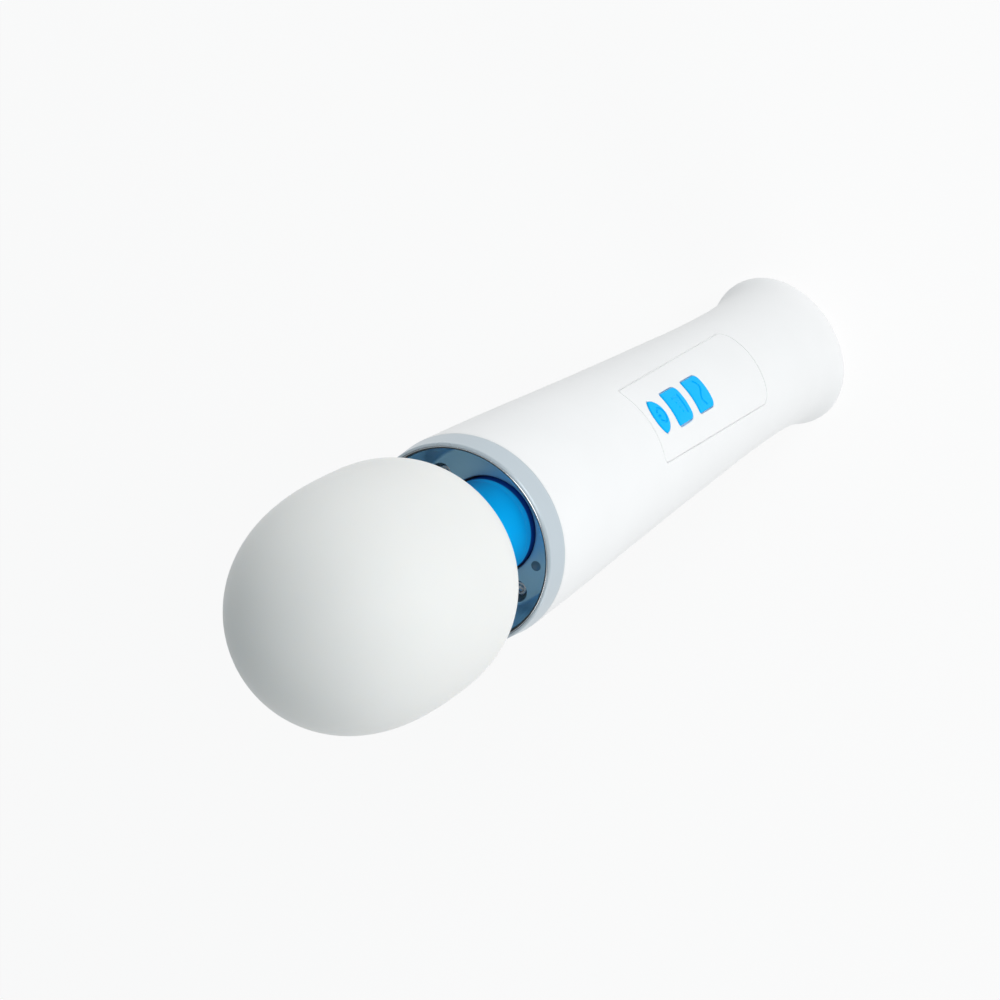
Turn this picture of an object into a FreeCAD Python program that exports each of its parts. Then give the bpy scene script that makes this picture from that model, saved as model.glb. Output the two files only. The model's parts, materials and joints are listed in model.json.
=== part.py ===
"""Cordless wand massager: a long handle, a flexing neck and a round vibrating head.

Units are millimetres. The wand stands on its flat base with its axis along +Z, the base at
Z = 0 and the control panel facing -Y. Heights in this file are measured from a datum plane
across the foot of the handle, and every piece is moved up from there when it is saved.
"""
import FreeCAD, Part
import math
import os

from FreeCAD import Vector

os.makedirs("parts", exist_ok=True)

# Handle: round from the waist up, and spreading sideways into a flat tail below it
BASE = -8.0
HANDLE_TOP = 241.3
TAIL_SECTIONS = [  # height, half width, half depth
    (BASE, 33.2, 22.6), (-3.5, 31.8, 23.4), (1.0, 30.4, 24.2), (6.5, 28.8, 24.9),
    (12.0, 27.6, 25.4), (19.0, 26.8, 25.65), (26.0, 26.4, 25.75), (36.0, 25.95, 25.75),
]
HANDLE_OUTLINE = [  # height, radius
    (45.0, 25.8), (53.0, 25.75), (72.0, 25.8), (96.0, 26.3), (120.0, 26.8), (149.0, 27.5),
    (181.0, 28.45), (212.0, 29.4), (HANDLE_TOP, 30.0),
]
HANDLE_WALL = 2.6
BASE_EDGE_ROUNDING = 7.5
BASE_WALL = 6.0
BASE_OPENING_RADIUS = 13.2

# Collar and cup at the handle's mouth
COLLAR_HEIGHT = 7.5
COLLAR_TOP_RADIUS = 29.2
CUP_FLOOR = HANDLE_TOP - 11.7
CUP_FLOOR_THICKNESS = 4.0
CUP_FLOOR_RADIUS = 24.5
CUP_MOUTH_RADIUS = 27.6
CUP_WALL = 0.8
CUP_HOLE_RADIUS = 14.6
CUP_SCREW_RADIUS = 20.2
CUP_SCREW_ANGLES = {"left": 166.0, "right": 11.0}
CUP_COUNTERBORE_RADIUS = 3.15
CUP_COUNTERBORE_DEPTH = 3.4
CUP_SCREW_HEAD_RADIUS = 2.3
CUP_SCREW_HEAD_HEIGHT = 1.4
CUP_SCREW_SHANK_RADIUS = 1.25
CUP_DIMPLE_RADIUS = 1.4
CUP_DIMPLE_DEPTH = 0.8
CUP_DIMPLE_POSITION = (-16.9, -5.4)

# Neck
NECK_RADIUS = 14.04
NECK_SEAL_TOP = CUP_FLOOR + 3.4
NECK_BOOT_TOP = 257.6
NECK_BOOT_WALL = 2.6
NECK_CORE_RADIUS = 9.5
NECK_CORE_BORE = 6.2

# Head, a rounded dome above and below its widest height
HEAD_RADIUS = 32.93
HEAD_CENTRE = 285.1
HEAD_RISE = 47.9
HEAD_DROP = 32.77
HEAD_RISE_POWER = 2.82
HEAD_DROP_POWER = 2.71
HEAD_SKIN = 4.0
HOUSING_WALL = 2.4
HOUSING_BOTTOM = 264.0

# Drive
SHAFT_RADIUS = 2.0
ECCENTRIC_SHAFT_RADIUS = 2.97
RUNNING_CLEARANCE = 0.04
MOTOR_RADIUS = 16.0
MOTOR_BOTTOM = 180.0
MOTOR_TOP = 218.0
MOTOR_SCREW_OFFSET = 13.6
COUPLING_RADIUS = 5.2

# Power
CELL_OFFSET = 9.45
BOARD_SCREWS = [(x, z) for x in (-8.6, 8.6) for z in (78.0, 168.0)]
CONTACT_OFFSET = 3.5

# Control panel and buttons, outlines as (x, z) seen from the front
PANEL_BOTTOM = 77.8
PANEL_TOP = 168.6
PANEL_HALF_WIDTH_BOTTOM = 14.6
PANEL_HALF_WIDTH_TOP = 13.1
PANEL_CORNER_BOTTOM = 4.0
PANEL_CORNER_TOP = 1.8
PANEL_THICKNESS = 1.4
PANEL_GROOVE = 0.45
BUTTON_GAP = 0.2
BUTTON_PROUD = 0.4
BUTTON_EDGE_ROUNDING = 0.25
BUTTON_TRAVEL = 0.8
BUTTON_BACK = -21.6
BUTTON_SYMBOL_DEPTH = 0.3
SYMBOL_LINE = 0.7
LENS_HALF_WIDTH = 5.7
LENS_TIP = 161.6
LENS_TOP = 164.6
LENS_BOTTOM = 156.3
LENS_TIP_ROUNDING = 0.6
STRIP_HALF_WIDTH = 5.9
STRIP_BOW = 0.4
SWITCH_TIP = -19.05
BOARD_FRONT = -16.6
BOARD_THICKNESS = 1.6

FAR = 45.0
ROUND_ENOUGH = 0.001


def save(name, shape):
    """Write one piece to its own STEP file, lifted so that the wand stands on Z = 0."""
    lifted = shape.copy()
    lifted.translate(Vector(0, 0, -BASE))
    lifted.exportStep("parts/%s.step" % name)


def tube(outer, inner, bottom, top):
    """An upright round tube on the wand's axis."""
    height = top - bottom
    wall = Part.makeCylinder(outer, height, Vector(0, 0, bottom))
    return wall.cut(Part.makeCylinder(inner, height + 2, Vector(0, 0, bottom - 1)))


def cylinder(radius, bottom, top, x=0.0, y=0.0):
    return Part.makeCylinder(radius, top - bottom, Vector(x, y, bottom))


def box(x_range, y_range, z_range):
    size = [high - low for low, high in (x_range, y_range, z_range)]
    return Part.makeBox(*size, Vector(x_range[0], y_range[0], z_range[0]))


def turned(points):
    """Revolve a closed outline of (radius, height) corners about the wand's axis."""
    wire = Part.makePolygon([Vector(r, 0, z) for r, z in points + points[:1]])
    return Part.Face(wire).revolve(Vector(0, 0, 0), Vector(0, 0, 1), 360)


def turned_edges(edges):
    """Revolve a closed outline made of lines, arcs and splines about the wand's axis."""
    face = Part.Face(Part.Wire(Part.__sortEdges__(edges)))
    return face.revolve(Vector(0, 0, 0), Vector(0, 0, 1), 360)


def line(start, end):
    return Part.makeLine(Vector(start[0], 0, start[1]), Vector(end[0], 0, end[1]))


def arc(start, middle, end):
    ends = [Vector(r, 0, z) for r, z in (start, middle, end)]
    return Part.Arc(*ends).toShape()


def spline(points):
    curve = Part.BSplineCurve()
    curve.interpolate([Vector(r, 0, z) for r, z in points])
    return curve.toShape()


def oval(height, half_width, half_depth):
    curve = Part.Ellipse(Vector(0, 0, height), half_width, half_depth)
    return Part.Wire(curve.toShape())


def handle_solid(inset):
    """The handle's outer form, moved in by a wall thickness, as one solid body."""
    sections = [oval(z, wide - inset, deep - inset) for z, wide, deep in TAIL_SECTIONS]
    for height, radius in HANDLE_OUTLINE:
        sections.append(oval(height, radius - inset + ROUND_ENOUGH, radius - inset))
    body = Part.makeLoft(sections, True)
    foot = [e for e in body.Edges if e.BoundBox.ZMax < BASE + 0.01]
    return body.makeFillet(BASE_EDGE_ROUNDING - inset, foot)


def surface_shell(outward, inward):
    """The layer of the handle wall between two distances from its outer surface."""
    side = [(radius, height) for height, radius in HANDLE_OUTLINE]
    outer = [(radius + outward, height) for radius, height in side]
    inner = [(radius - inward, height) for radius, height in side]
    ends = [line(outer[0], inner[0]), line(outer[-1], inner[-1])]
    return turned_edges([spline(outer), spline(inner)] + ends)


def front_prism(wire, near=-FAR, far=0.0):
    """Extrude an outline drawn in the XZ plane through the front of the handle."""
    moved = wire.copy()
    moved.translate(Vector(0, near, 0))
    return Part.Face(moved).extrude(Vector(0, far - near, 0))


def polygon_xz(points):
    return Part.makePolygon([Vector(x, 0, z) for x, z in points + points[:1]])


def arc_xz(points):
    return Part.Arc(*[Vector(x, 0, z) for x, z in points]).toShape()


def corner_edges(solid):
    return [
        e for e in solid.Edges
        if e.BoundBox.XLength < 1e-5 and e.BoundBox.ZLength < 1e-5
    ]


def rounded(solid, radius, top_radius=None):
    """Round the corners of a prism along Y; its highest corners can have their own radius."""
    if top_radius is not None:
        high = [e for e in corner_edges(solid) if e.BoundBox.ZMin > solid.BoundBox.ZMax - 0.01]
        solid = solid.makeFillet(top_radius, high)
        middle = solid.BoundBox.Center.z
        return solid.makeFillet(radius, [e for e in corner_edges(solid)
                                         if e.BoundBox.ZMax < middle])
    return solid.makeFillet(radius, corner_edges(solid))


def panel_prism(grow):
    corners = [
        (-PANEL_HALF_WIDTH_BOTTOM - grow, PANEL_BOTTOM - grow),
        (PANEL_HALF_WIDTH_BOTTOM + grow, PANEL_BOTTOM - grow),
        (PANEL_HALF_WIDTH_TOP + grow, PANEL_TOP + grow),
        (-PANEL_HALF_WIDTH_TOP - grow, PANEL_TOP + grow),
    ]
    prism = front_prism(polygon_xz(corners))
    return rounded(prism, PANEL_CORNER_BOTTOM + grow, PANEL_CORNER_TOP + grow)


def lens_wire(grow):
    """Pointed lens outline of the power button."""
    half = LENS_HALF_WIDTH + 1.2 * grow
    tips = (-half, LENS_TIP), (half, LENS_TIP)
    upper = arc_xz([tips[0], (0, LENS_TOP + grow), tips[1]])
    lower = arc_xz([tips[1], (0, LENS_BOTTOM - grow), tips[0]])
    return Part.Wire([upper, lower])


def strip_wire(grow, upper, lower):
    """Strip outline with one straight edge and one slightly bowed edge."""
    half = STRIP_HALF_WIDTH + grow
    high, low = upper + grow, lower - grow
    bowed = arc_xz([(-half, low + STRIP_BOW), (0, low), (half, low + STRIP_BOW)])
    left = Part.makeLine(Vector(-half, 0, high), Vector(-half, 0, low + STRIP_BOW))
    right = Part.makeLine(Vector(half, 0, low + STRIP_BOW), Vector(half, 0, high))
    top = Part.makeLine(Vector(half, 0, high), Vector(-half, 0, high))
    return Part.Wire([left, bowed, right, top])


def mode_wire(grow):
    return strip_wire(grow, 151.7, 139.8)


def speed_wire(grow):
    return strip_wire(grow, 134.6, 122.2)


def button_prism(name, grow):
    solid = front_prism(BUTTONS[name]["wire"](grow))
    if name == "power":
        return rounded(solid, LENS_TIP_ROUNDING + grow)
    return rounded(solid, 2.0 + grow, 0.9 + grow)


def ring_xz(x, z, outer, inner):
    """A ring lying in the XZ plane, cut through the front of the handle."""
    start = Vector(x, -FAR, z)
    outside = Part.makeCylinder(outer, FAR, start, Vector(0, 1, 0))
    return outside.cut(Part.makeCylinder(inner, FAR, start, Vector(0, 1, 0)))


def bar_xz(left, right, low, high):
    return box((left, right), (-FAR, 0), (low, high))


def power_symbol():
    half = SYMBOL_LINE / 2
    ring = ring_xz(0, 159.8, 2.4 + half, 2.4 - half)
    gap = bar_xz(-1.4, 1.4, 160.6, 163.0)
    return ring.cut(gap).fuse(bar_xz(-half, half, 160.7, 162.7))


def mode_symbol():
    heights = [1.2, 1.8, 2.4, 3.0]
    bars = [
        bar_xz(-2.9 + 1.75 * i, -2.25 + 1.75 * i, 144.4, 144.4 + height)
        for i, height in enumerate(heights)
    ]
    return bars[0].multiFuse(bars[1:] + [bar_xz(-3.2, 3.3, 142.5, 143.3)])


def speed_symbol():
    """A wave: two half rings, one bent down and one bent up."""
    centre, radius, half = 127.9, 2.0, SYMBOL_LINE / 2
    dip = ring_xz(radius, centre, radius + half, radius - half)
    rise = ring_xz(-radius, centre, radius + half, radius - half)
    dip = dip.cut(bar_xz(-5, 5, centre, centre + 5))
    return dip.fuse(rise.cut(bar_xz(-5, 5, centre - 5, centre)))


BUTTONS = {
    "power": {"wire": lens_wire, "centre": 160.6, "symbol": power_symbol},
    "mode": {"wire": mode_wire, "centre": 145.6, "symbol": mode_symbol},
    "speed": {"wire": speed_wire, "centre": 128.4, "symbol": speed_symbol},
}


def make_handle_shell():
    hollow = handle_solid(HANDLE_WALL).common(cylinder(FAR, BASE + BASE_WALL, HANDLE_TOP + 1.0))
    shell = handle_solid(0.0).cut(hollow)
    shell = shell.cut(cylinder(BASE_OPENING_RADIUS, BASE - 1.0, BASE + BASE_WALL + 1.0))
    pocket = surface_shell(1.0, PANEL_THICKNESS + 0.1).common(panel_prism(PANEL_GROOVE))
    shell = shell.cut(pocket)
    for name in BUTTONS:
        shell = shell.cut(button_prism(name, BUTTON_GAP))
    return shell


def make_control_panel():
    panel = surface_shell(0.0, PANEL_THICKNESS).common(panel_prism(0.0))
    for name in BUTTONS:
        panel = panel.cut(button_prism(name, BUTTON_GAP))
    return panel


def make_button(name):
    """A cap that follows the handle's curve, with a hidden flange and a stem."""
    button = BUTTONS[name]
    cap = button_prism(name, 0.0).common(raised_front)
    cap = cap.common(box((-20, 20), (-FAR, BUTTON_BACK), (100, 180)))
    top_edges = [e for e in cap.Edges if max(v.Y for v in e.Vertexes) < BUTTON_BACK - 3.0]
    cap = cap.makeFillet(BUTTON_EDGE_ROUNDING, top_edges)
    symbol = button["symbol"]().common(surface_shell(BUTTON_PROUD + 1.0, -BUTTON_PROUD
                                                     + BUTTON_SYMBOL_DEPTH))
    cap = cap.cut(symbol)
    flange = button_prism(name, 1.0).common(
        box((-20, 20), (BUTTON_BACK - 0.9, BUTTON_BACK), (100, 180))
    )
    tip = SWITCH_TIP - BUTTON_TRAVEL - 0.05
    stem = Part.makeCylinder(
        1.6, tip - BUTTON_BACK + 0.2, Vector(0, BUTTON_BACK - 0.2, button["centre"]),
        Vector(0, 1, 0),
    )
    return cap.fuse(flange).fuse(stem).removeSplitter()


def make_switch(name):
    centre = BUTTONS[name]["centre"]
    body_top = BOARD_FRONT - 1.7
    body = box((-3, 3), (body_top, BOARD_FRONT), (centre - 3, centre + 3))
    plunger = Part.makeCylinder(
        1.7, BOARD_FRONT - 0.5 - SWITCH_TIP, Vector(0, SWITCH_TIP, centre), Vector(0, 1, 0)
    )
    return body.fuse(plunger)


def cup_wall_radius(height):
    """Inner radius of the cup's sloping wall."""
    bottom, top = CUP_FLOOR + 1.4, HANDLE_TOP + COLLAR_HEIGHT - 0.4
    share = (height - bottom) / (top - bottom)
    return CUP_FLOOR_RADIUS + 0.1 + share * (CUP_MOUTH_RADIUS - CUP_FLOOR_RADIUS - 0.1)


def screw_places():
    for name, angle in CUP_SCREW_ANGLES.items():
        turn = math.radians(angle)
        yield name, CUP_SCREW_RADIUS * math.cos(turn), CUP_SCREW_RADIUS * math.sin(turn)


def make_front_cup():
    rim = HANDLE_TOP + COLLAR_HEIGHT
    low = CUP_FLOOR - CUP_FLOOR_THICKNESS
    wall_bottom = CUP_FLOOR + 1.4
    mouth = cup_wall_radius(rim - 0.4)
    outline = [
        line((CUP_HOLE_RADIUS, low), (CUP_HOLE_RADIUS, CUP_FLOOR - 0.4)),
        line((CUP_HOLE_RADIUS, CUP_FLOOR - 0.4), (CUP_HOLE_RADIUS + 0.4, CUP_FLOOR)),
        line((CUP_HOLE_RADIUS + 0.4, CUP_FLOOR), (CUP_FLOOR_RADIUS - 1.4, CUP_FLOOR)),
        arc((CUP_FLOOR_RADIUS - 1.4, CUP_FLOOR), (CUP_FLOOR_RADIUS - 0.38, CUP_FLOOR + 0.36),
            (cup_wall_radius(wall_bottom), wall_bottom)),
        line((cup_wall_radius(wall_bottom), wall_bottom), (mouth, rim - 0.4)),
        arc((mouth, rim - 0.4), (mouth + CUP_WALL / 2, rim + 0.05),
            (mouth + CUP_WALL, rim - 0.4)),
        line((mouth + CUP_WALL, rim - 0.4),
             (cup_wall_radius(low + 2.0) + CUP_WALL, low + 2.0)),
        line((cup_wall_radius(low + 2.0) + CUP_WALL, low + 2.0),
             (cup_wall_radius(low + 2.0) + CUP_WALL - 1.2, low)),
        line((cup_wall_radius(low + 2.0) + CUP_WALL - 1.2, low), (CUP_HOLE_RADIUS, low)),
    ]
    cup = turned_edges(outline)
    for _, x, y in screw_places():
        seat = cylinder(CUP_COUNTERBORE_RADIUS, CUP_FLOOR - CUP_COUNTERBORE_DEPTH,
                        CUP_FLOOR + 1, x, y)
        hole = cylinder(CUP_SCREW_SHANK_RADIUS + 0.15, low - 1, CUP_FLOOR, x, y)
        cup = cup.cut(seat).cut(hole)
    x, y = CUP_DIMPLE_POSITION
    return cup.cut(cylinder(CUP_DIMPLE_RADIUS, CUP_FLOOR - CUP_DIMPLE_DEPTH, CUP_FLOOR + 1, x, y))


def make_cup_screw(x, y):
    """Socket-head screw sunk in the cup's floor."""
    seat = CUP_FLOOR - CUP_COUNTERBORE_DEPTH
    head_top = seat + CUP_SCREW_HEAD_HEIGHT
    head = cylinder(CUP_SCREW_HEAD_RADIUS, seat, head_top, x, y)
    head = head.makeFillet(0.3, [e for e in head.Edges if e.BoundBox.ZMin > head_top - 0.1])
    hexagon = Part.makePolygon([
        Vector(x + 1.3 * math.cos(math.radians(60 * i)),
               y + 1.3 * math.sin(math.radians(60 * i)), head_top - 1.3)
        for i in range(7)
    ])
    socket = Part.Face(hexagon).extrude(Vector(0, 0, 3))
    shank = cylinder(CUP_SCREW_SHANK_RADIUS, seat - 5.5, seat + 0.2, x, y)
    return head.cut(socket).fuse(shank)


def make_front_collar():
    rim = HANDLE_TOP + COLLAR_HEIGHT
    gap = CUP_WALL + 0.06
    bottom_inner = cup_wall_radius(HANDLE_TOP) + gap
    top_inner = cup_wall_radius(rim - 0.5) + gap
    return turned_edges([
        line((bottom_inner, HANDLE_TOP), (30.0, HANDLE_TOP)),
        line((30.0, HANDLE_TOP), (COLLAR_TOP_RADIUS + 0.05, rim - 0.7)),
        arc((COLLAR_TOP_RADIUS + 0.05, rim - 0.7), (COLLAR_TOP_RADIUS - 0.17, rim - 0.2),
            (COLLAR_TOP_RADIUS - 0.6, rim)),
        line((COLLAR_TOP_RADIUS - 0.6, rim), (top_inner, rim)),
        line((top_inner, rim), (top_inner, rim - 0.5)),
        line((top_inner, rim - 0.5), (bottom_inner, HANDLE_TOP)),
    ])


def make_motor_mount():
    """Disc that carries the motor, the neck hub and the posts for the cup screws."""
    mount = tube(26.0, COUPLING_RADIUS + 0.6, 219.0, 223.0)
    mount = mount.fuse(tube(11.3, 8.2, 222.9, 231.0))
    for _, x, y in screw_places():
        mount = mount.fuse(cylinder(3.4, 222.9, 225.5, x, y))
    for _, x, y in screw_places():
        mount = mount.cut(cylinder(CUP_SCREW_SHANK_RADIUS + 0.02, 218.0, 226.0, x, y))
    for y in (-MOTOR_SCREW_OFFSET, MOTOR_SCREW_OFFSET):
        mount = mount.cut(cylinder(1.3, 218.0, 224.0, 0, y))
    return mount.cut(cylinder(5.1, 218.0, 221.1))


def make_motor_can():
    can = cylinder(MOTOR_RADIUS, MOTOR_BOTTOM, MOTOR_TOP).fuse(cylinder(5.0, 217.9, 221.0))
    can = can.makeFillet(1.5, [e for e in can.Edges if e.BoundBox.ZMax < MOTOR_BOTTOM + 0.1
                               and e.BoundBox.XLength > 2 * MOTOR_RADIUS - 0.1])
    can = can.cut(cylinder(MOTOR_RADIUS - 1.8, MOTOR_BOTTOM + 2.0, MOTOR_TOP - 2.0))
    can = can.cut(cylinder(SHAFT_RADIUS + RUNNING_CLEARANCE, MOTOR_TOP - 3.0, 222.0))
    for y in (-MOTOR_SCREW_OFFSET, MOTOR_SCREW_OFFSET):
        can = can.cut(cylinder(1.02, MOTOR_TOP - 3.0, MOTOR_TOP + 1.0, 0, y))
    return can


def make_motor_screw(y):
    return cylinder(1.0, 216.2, 223.2, 0, y).fuse(cylinder(2.0, 223.0, 224.6, 0, y))


def make_chassis():
    """Inner frame that carries the board in front of the cells and stops at the motor."""
    plate = box((-16, 16), (-14.9, -12.9), (12.0, 176.0))
    ends = cylinder(21.5, 12.0, 14.5).fuse(cylinder(22.6, 173.5, 176.0))
    frame = plate.fuse(ends)
    for x in (-15.0, 15.0):
        frame = frame.fuse(box((x - 1, x + 1), (-13.0, 8.0), (14.0, 174.0)))
    for x in (-15.0, 15.0):
        frame = frame.cut(box((x - 2.1, x + 2.1), (-8.2, 13.0), (30.0, 103.0)))
    for x, z in BOARD_SCREWS:
        frame = frame.cut(along_y(0.82, -15.5, -12.0, x, z))
    return frame


def along_y(radius, start, end, x, z):
    return Part.makeCylinder(radius, end - start, Vector(x, start, z), Vector(0, 1, 0))


def make_board():
    back = BOARD_FRONT + BOARD_THICKNESS
    board = box((-11, 11), (BOARD_FRONT, back), (72.0, 173.0))
    for x, z in BOARD_SCREWS:
        board = board.cut(along_y(0.95, BOARD_FRONT - 1, back + 1, x, z))
    return board


def make_board_screw(x, z):
    head = along_y(1.6, BOARD_FRONT - 1.25, BOARD_FRONT - 0.02, x, z)
    return head.fuse(along_y(0.8, BOARD_FRONT - 0.1, -13.2, x, z))


def make_cell(x):
    cell = cylinder(9.2, 34.0, 98.0, x, 1.5)
    cell = cell.makeFillet(0.8, [e for e in cell.Edges if e.BoundBox.ZLength < 0.01])
    return cell.fuse(cylinder(3.2, 97.9, 99.2, x, 1.5))


def make_cell_bracket(bottom):
    bracket = cylinder(22.6, bottom, bottom + 8.0)
    bracket = bracket.common(box((-22, 22), (-7.9, 12.5), (bottom, bottom + 8.0)))
    for x in (-CELL_OFFSET, CELL_OFFSET):
        bracket = bracket.cut(cylinder(9.26, bottom - 1, bottom + 9, x, 1.5))
    return bracket


def make_base_cap():
    """Plug in the foot of the handle, with a shallow charging recess."""
    cap = cylinder(13.0, BASE + 0.6, BASE + 5.9)
    cap = cap.fuse(cylinder(12.4, BASE + 5.8, BASE + 6.2))
    cap = cap.fuse(cylinder(16.5, BASE + 6.1, BASE + 8.6))
    cap = cap.cut(cylinder(7.0, BASE, BASE + 1.8))
    for x in (-CONTACT_OFFSET, CONTACT_OFFSET):
        cap = cap.cut(cylinder(1.42, BASE, BASE + 10.0, x))
    return cap


def make_foot_ring():
    return tube(12.3, 8.6, BASE, BASE + 0.55)


def make_contact(x):
    return cylinder(1.4, BASE + 1.2, BASE + 9.6, x)


def head_radius(height, inset):
    """Radius of the head at a height, for a form moved in by an inset."""
    offset = height - HEAD_CENTRE
    reach = (HEAD_RISE if offset > 0 else HEAD_DROP) - inset
    power = HEAD_RISE_POWER if offset > 0 else HEAD_DROP_POWER
    share = min(abs(offset) / reach, 1.0)
    return (HEAD_RADIUS - inset) * math.sqrt(1 - share ** power)


def head_solid(inset, bottom):
    """The head's rounded form above a height, as one solid body."""
    top = HEAD_CENTRE + HEAD_RISE - inset
    steps = 40
    side = []
    for i in range(steps):
        share = math.sin(math.pi / 2 * i / steps)
        height = bottom + (top - bottom) * share
        side.append((head_radius(height, inset), height))
    side.append((0.0, top))
    ends = [line((0, bottom), side[0]), line((0, top), (0, bottom))]
    return turned_edges([spline(side)] + ends)


def make_head_cap():
    mouth = HEAD_CENTRE - HEAD_DROP * (1 - (14.6 / HEAD_RADIUS) ** 2) ** (1 / HEAD_DROP_POWER)
    cap = head_solid(0.0, mouth).cut(head_solid(HEAD_SKIN, HOUSING_BOTTOM))
    cap = cap.cut(cylinder(NECK_RADIUS + 0.06, mouth - 1, NECK_BOOT_TOP + 0.4))
    return cap.cut(cylinder(12.4, mouth, HOUSING_BOTTOM + 0.5))


def make_head_housing():
    outer = head_solid(HEAD_SKIN + 0.05, HOUSING_BOTTOM + 0.05)
    return outer.cut(head_solid(HEAD_SKIN + HOUSING_WALL, HOUSING_BOTTOM + 0.04))


def make_head_base_plate():
    """Disc that closes the housing and holds the neck core and the lower bearing."""
    plate = cylinder(17.0, HOUSING_BOTTOM + 0.1, 267.0)
    plate = plate.fuse(cylinder(12.0, 258.4, HOUSING_BOTTOM + 0.2))
    plate = plate.fuse(cylinder(10.6, 266.9, 272.2))
    plate = plate.cut(cylinder(NECK_CORE_RADIUS + 0.1, 258.0, 264.5))
    plate = plate.cut(cylinder(COUPLING_RADIUS + 0.6, 264.0, 267.2))
    return plate.cut(cylinder(8.03, 267.0, 273.0))


def make_bearing_bridge():
    bridge = cylinder(23.2, 303.0, 306.0).fuse(cylinder(10.6, 305.9, 311.2))
    return bridge.cut(cylinder(4.6, 302.0, 306.2)).cut(cylinder(8.03, 306.0, 312.0))


def make_bearing(bottom):
    """Ball bearing with a groove on both faces between its two rings."""
    bearing = tube(8.0, ECCENTRIC_SHAFT_RADIUS + RUNNING_CLEARANCE, bottom, bottom + 5.0)
    for start in (bottom - 1, bottom + 4.6):
        bearing = bearing.cut(tube(6.6, 4.4, start, start + 1.4))
    return bearing


def make_eccentric_weight():
    weight = cylinder(17.0, 275.0, 299.0).common(box((-20, 20), (0.0, 20), (270, 300)))
    weight = weight.fuse(cylinder(6.0, 275.0, 299.0))
    return weight.cut(cylinder(ECCENTRIC_SHAFT_RADIUS + 0.02, 274.0, 300.0))


def make_coupling(bottom, top, shaft_radius):
    sleeve = tube(COUPLING_RADIUS, shaft_radius + 0.02, bottom, top)
    pin_hole = Part.makeCylinder(0.8, 12, Vector(0, -6, (bottom + top) / 2), Vector(0, 1, 0))
    return sleeve.cut(pin_hole)


raised_front = turned_edges([
    spline([(radius + BUTTON_PROUD, height) for height, radius in HANDLE_OUTLINE]),
    line((0, HANDLE_OUTLINE[0][0]), (HANDLE_OUTLINE[0][1] + BUTTON_PROUD, HANDLE_OUTLINE[0][0])),
    line((HANDLE_OUTLINE[-1][1] + BUTTON_PROUD, HANDLE_TOP), (0, HANDLE_TOP)),
    line((0, HANDLE_TOP), (0, HANDLE_OUTLINE[0][0])),
])

save("handle_shell", make_handle_shell())
save("control_panel", make_control_panel())
save("front_collar", make_front_collar())
save("front_cup", make_front_cup())
for side, x, y in screw_places():
    save("cup_screw_" + side, make_cup_screw(x, y))
for name in BUTTONS:
    save("button_" + name, make_button(name))
    save("switch_" + name, make_switch(name))

save("neck_seal_ring", tube(NECK_RADIUS, 11.5, 226.4, NECK_SEAL_TOP))
save("neck_boot", tube(NECK_RADIUS, NECK_RADIUS - NECK_BOOT_WALL, NECK_SEAL_TOP + 0.3,
                       NECK_BOOT_TOP))
save("neck_core", tube(NECK_CORE_RADIUS, NECK_CORE_BORE, 231.3, 263.6))

save("motor_mount", make_motor_mount())
save("motor_can", make_motor_can())
save("motor_screw_front", make_motor_screw(-MOTOR_SCREW_OFFSET))
save("motor_screw_back", make_motor_screw(MOTOR_SCREW_OFFSET))
save("motor_rotor", cylinder(SHAFT_RADIUS, 184.0, 230.2).fuse(cylinder(11.0, 187.0, 211.0)))
save("drive_coupling_lower", make_coupling(223.6, 230.4, SHAFT_RADIUS))
save("drive_shaft_flexible", cylinder(1.8, 230.7, 258.2))

save("chassis", make_chassis())
save("main_board", make_board())
for index, (x, z) in enumerate(BOARD_SCREWS, start=1):
    save("board_screw_%d" % index, make_board_screw(x, z))
save("battery_cell_left", make_cell(-CELL_OFFSET))
save("battery_cell_right", make_cell(CELL_OFFSET))
save("battery_bracket_lower", make_cell_bracket(42.0))
save("battery_bracket_upper", make_cell_bracket(82.0))

save("base_cap", make_base_cap())
save("foot_ring", make_foot_ring())
save("charge_contact_left", make_contact(-CONTACT_OFFSET))
save("charge_contact_right", make_contact(CONTACT_OFFSET))

save("head_cap", make_head_cap())
save("head_housing", make_head_housing())
save("head_base_plate", make_head_base_plate())
save("bearing_bridge", make_bearing_bridge())
save("head_bearing_lower", make_bearing(267.1))
save("head_bearing_upper", make_bearing(306.1))
save("eccentric_shaft", cylinder(ECCENTRIC_SHAFT_RADIUS, 258.9, 314.0))
save("eccentric_weight", make_eccentric_weight())
save("drive_coupling_upper", make_coupling(258.6, 264.6, ECCENTRIC_SHAFT_RADIUS))
save("shaft_clip", tube(4.4, ECCENTRIC_SHAFT_RADIUS + 0.02, 311.4, 312.4))
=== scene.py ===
"""Looks of the cordless wand massager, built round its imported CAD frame.

Sizes are in millimetres: the wand stands on its base with its axis along +Z and its control
panel facing -Y. Heights are measured from a datum plane across the foot of the handle, as in the
CAD source; they are lifted to the frame's own heights, in metres, when a mesh is made.
"""
import json
import math

import bmesh
import bpy
import numpy as np
from mathutils import Matrix, Vector


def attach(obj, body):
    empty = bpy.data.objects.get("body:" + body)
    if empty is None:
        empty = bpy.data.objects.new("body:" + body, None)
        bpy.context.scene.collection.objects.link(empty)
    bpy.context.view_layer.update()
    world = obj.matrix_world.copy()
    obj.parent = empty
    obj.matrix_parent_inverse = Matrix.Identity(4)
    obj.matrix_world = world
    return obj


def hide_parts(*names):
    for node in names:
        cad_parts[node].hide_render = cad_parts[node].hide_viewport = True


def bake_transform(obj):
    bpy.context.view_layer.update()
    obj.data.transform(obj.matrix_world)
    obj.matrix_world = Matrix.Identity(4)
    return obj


MM = 0.001

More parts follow.
